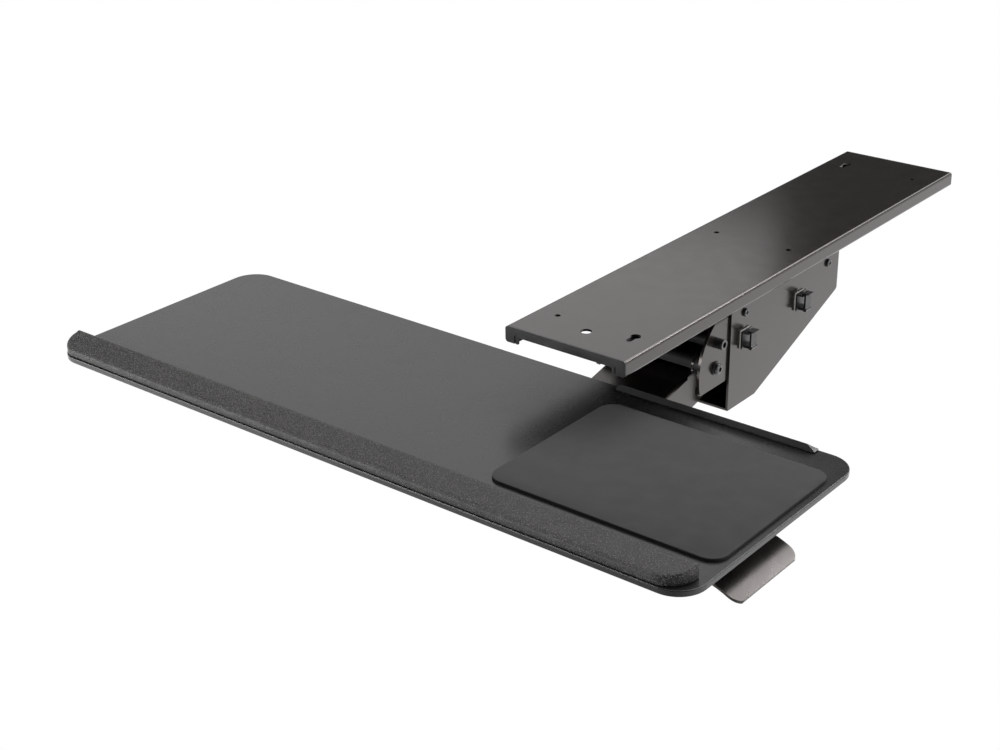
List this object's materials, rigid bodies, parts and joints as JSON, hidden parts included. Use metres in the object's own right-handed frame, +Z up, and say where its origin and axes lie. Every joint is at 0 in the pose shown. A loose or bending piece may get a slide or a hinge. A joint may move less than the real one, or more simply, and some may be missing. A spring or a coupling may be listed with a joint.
{
  "type": "under-desk keyboard tray",
  "caption": "Keyboard tray that hangs from a desk on a sliding track and lifts, tilts and swivels, with wrist rest, mouse pad and release paddle.",
  "frame": {"origin": "middle of the track's top face, which lies against the underside of the desk", "axes": "+X to the user's right, +Y away from the user along the track, +Z up into the desk"},
  "size_m": [0.666, 0.751, 0.1205],
  "materials": {
    "black_powder_coat": "fine satin black powder coat",
    "black_moulding": "matt black moulded plastic",
    "natural_nylon": "off-white nylon",
    "black_oxide_steel": "black oxide, slightly glossy",
    "zinc_plated_steel": "bright zinc plate",
    "spring_steel": "oiled spring steel",
    "gas_spring_paint": "smooth black paint",
    "chromed_rod": "hard chrome, polished",
    "black_laminate_board": "semi-gloss black laminate",
    "black_extrusion": "satin black plastic",
    "wrist_foam": "pebbled black foam",
    "pad_cloth": "dark grey cloth on black rubber",
    "clip_foam": "white foam tape"
  },
  "bodies": {
    "track_rail": {"track": "black_powder_coat", "front_end_cap": "black_moulding", "rear_end_cap": "black_moulding"},
    "carriage": {"carriage_plate": "black_powder_coat", "track_glides": "natural_nylon", "neck_spacers": "zinc_plated_steel", "carriage_bolts": "zinc_plated_steel", "lift_frame": "black_powder_coat", "spring_cover": "black_powder_coat", "cover_screws": "black_oxide_steel", "pivot_shaft": "zinc_plated_steel", "pivot_washers": "black_oxide_steel", "pivot_screws": "black_oxide_steel", "tie_rod": "zinc_plated_steel", "tie_collars": "black_oxide_steel", "tie_screws": "black_oxide_steel", "pivot_sleeves": "natural_nylon", "gas_spring_tube": "gas_spring_paint", "anchor_pin": "zinc_plated_steel", "anchor_clips": "zinc_plated_steel", "anchor_sleeves": "natural_nylon", "clip_pads": "clip_foam", "front_clip_base": "black_moulding", "rear_clip_base": "black_moulding", "clip_pins": "black_oxide_steel"},
    "arm": {"lift_arm": "black_powder_coat", "arm_bushes": "natural_nylon", "crank_pin": "zinc_plated_steel", "crank_sleeves": "natural_nylon"},
    "spring_rod": {"gas_spring_rod": "chromed_rod"},
    "tilt_head": {"tilt_bracket": "black_powder_coat", "friction_discs": "natural_nylon", "tilt_bolt": "zinc_plated_steel", "tilt_washers": "zinc_plated_steel", "tilt_nut": "zinc_plated_steel", "slip_disc": "natural_nylon"},
    "tray": {"swivel_plate": "black_powder_coat", "swivel_stud": "zinc_plated_steel", "swivel_washer": "zinc_plated_steel", "swivel_nut": "zinc_plated_steel", "plate_screws": "black_oxide_steel", "tray_board": "black_laminate_board", "wrist_rest": "wrist_foam", "mouse_pad": "pad_cloth", "mouse_stop": "black_extrusion", "stop_screws": "black_oxide_steel", "paddle_bracket": "black_powder_coat", "paddle_screws": "black_oxide_steel", "paddle_pin": "black_oxide_steel"},
    "paddle": {"release_paddle": "black_powder_coat", "paddle_spring": "spring_steel"},
    "front_latch": {"front_clip_latch": "black_moulding"},
    "rear_latch": {"rear_clip_latch": "black_moulding"}
  },
  "joints": [
    {"name": "carriage_slide", "type": "slide", "parent": "track_rail", "child": "carriage", "axis": [0, 1, 0], "range_m": [-0.135, 0.205]},
    {"name": "arm_lift", "type": "hinge", "parent": "carriage", "child": "arm", "pos_m": [0, -0.1425, -0.06], "axis": [-1, 0, 0], "range_deg": [-30, 10]},
    {"name": "rod_stroke", "type": "slide", "parent": "carriage", "child": "spring_rod", "axis": [0, -0.9704, -0.2413], "range_m": [-0.0136, 0.0047]},
    {"name": "tray_tilt", "type": "hinge", "parent": "arm", "child": "tilt_head", "pos_m": [0, -0.256, -0.104], "axis": [1, 0, 0], "range_deg": [-10, 15]},
    {"name": "tray_swivel", "type": "hinge", "parent": "tilt_head", "child": "tray", "pos_m": [0, -0.321, -0.063], "axis": [0, 0, 1], "range_deg": [-20, 20]},
    {"name": "paddle_squeeze", "type": "hinge", "parent": "tray", "child": "paddle", "pos_m": [0.1565, -0.366, -0.077], "axis": [0, -1, 0], "range_deg": [0, 8], "stiffness_Nm_per_rad": 0.6, "springref_deg": -14.32},
    {"name": "front_latch_swing", "type": "hinge", "parent": "carriage", "child": "front_latch", "pos_m": [0.0643, -0.0995, -0.0524], "axis": [0, 1, 0], "range_deg": [0, 80]},
    {"name": "rear_latch_swing", "type": "hinge", "parent": "carriage", "child": "rear_latch", "pos_m": [0.0643, -0.007, -0.0481], "axis": [0, 1, 0], "range_deg": [0, 80]}
  ],
  "couplings": [
    {"joint": "rod_stroke", "follows": "arm_lift", "m_per_rad": 0.02547}
  ]
}
